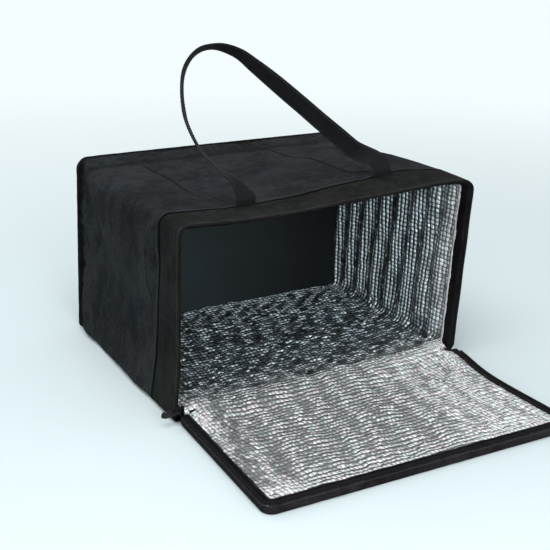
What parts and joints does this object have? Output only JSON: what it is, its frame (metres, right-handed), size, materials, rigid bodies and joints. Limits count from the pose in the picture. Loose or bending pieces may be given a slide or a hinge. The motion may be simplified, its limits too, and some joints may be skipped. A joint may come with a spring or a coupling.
{
  "type": "insulated cooler bag",
  "caption": "Soft box-shaped insulated bag with foil lining, zipped hinged lid lying open, and two webbing handles.",
  "frame": {"origin": "middle of the hinge binding's foot, on the ground under the mouth's lower edge", "axes": "-Z is the ground side, +Y runs from the mouth to the base, +X is to the right seen from the mouth; the bag lies on its back panel with the lid open towards -Y"},
  "size_m": [0.4346, 0.5679, 0.4126],
  "materials": {
    "outer_fabric": "charcoal black non-woven fabric, mottled, with a faint pressed grain",
    "trim": "black woven tape and binding",
    "webbing": "flat black webbing, fine woven ribs",
    "foil": "silver laminated foil embossed with rows of small cells",
    "foam": "white closed-cell foam sheet, hidden in the walls",
    "coil": "black nylon coil",
    "board": "smooth dark blue-grey sheet",
    "zip_metal": "black painted die casting, worn bright at the edges"
  },
  "bodies": {
    "shell": {"body_wrap": "outer_fabric", "mouth_band": "outer_fabric", "body_foam": "foam", "body_lining": "foil", "sill_lining": "foil", "mouth_facing": "trim", "base_piping": "trim", "base_panel": "outer_fabric", "base_foam": "foam", "base_lining": "foil", "body_zip_tape": "trim", "body_zip_coil": "coil", "zip_stop_left": "trim", "zip_stop_right": "trim", "hinge_binding": "trim", "front_anchor_left": "webbing", "front_anchor_right": "webbing", "back_anchor_left": "webbing", "back_anchor_right": "webbing"},
    "lid": {"lid_panel": "outer_fabric", "lid_rim": "outer_fabric", "lid_foam": "foam", "lid_lining": "foil", "lid_facing": "trim", "lid_zip_tape": "trim", "lid_zip_coil": "coil", "lid_hinge_edge": "trim"},
    "front_handle": {"front_handle": "webbing"},
    "back_handle": {"back_handle": "webbing"},
    "zip_slider": {"slider_body": "zip_metal", "slider_crown": "zip_metal"},
    "pull_tab": {"pull_tab": "zip_metal"},
    "base_board": {"base_board": "board"}
  },
  "joints": [
    {"name": "lid_hinge", "type": "hinge", "parent": "shell", "child": "lid", "pos_m": [0, -0.008, 0.017], "axis": [-1, 0, 0], "range_deg": [0, 90]},
    {"name": "front_handle_swing", "type": "hinge", "parent": "shell", "child": "front_handle", "pos_m": [0, 0.0411, 0.2436], "axis": [1, 0, 0], "range_deg": [-26, 78]},
    {"name": "back_handle_swing", "type": "hinge", "parent": "shell", "child": "back_handle", "pos_m": [0, 0.0411, 0.0012], "axis": [-1, 0, 0], "range_deg": [0, 170]},
    {"name": "zip_travel", "type": "slide", "parent": "shell", "child": "zip_slider", "axis": [0, 0, 1], "range_m": [0, 0.2]},
    {"name": "tab_swing", "type": "hinge", "parent": "zip_slider", "child": "pull_tab", "pos_m": [-0.2033, -0.008, 0.0177], "axis": [0, 1, 0], "range_deg": [-50, 70]},
    {"name": "board_slide", "type": "slide", "parent": "shell", "child": "base_board", "axis": [0, -1, 0], "range_m": [-0.031, 0.265]}
  ]
}
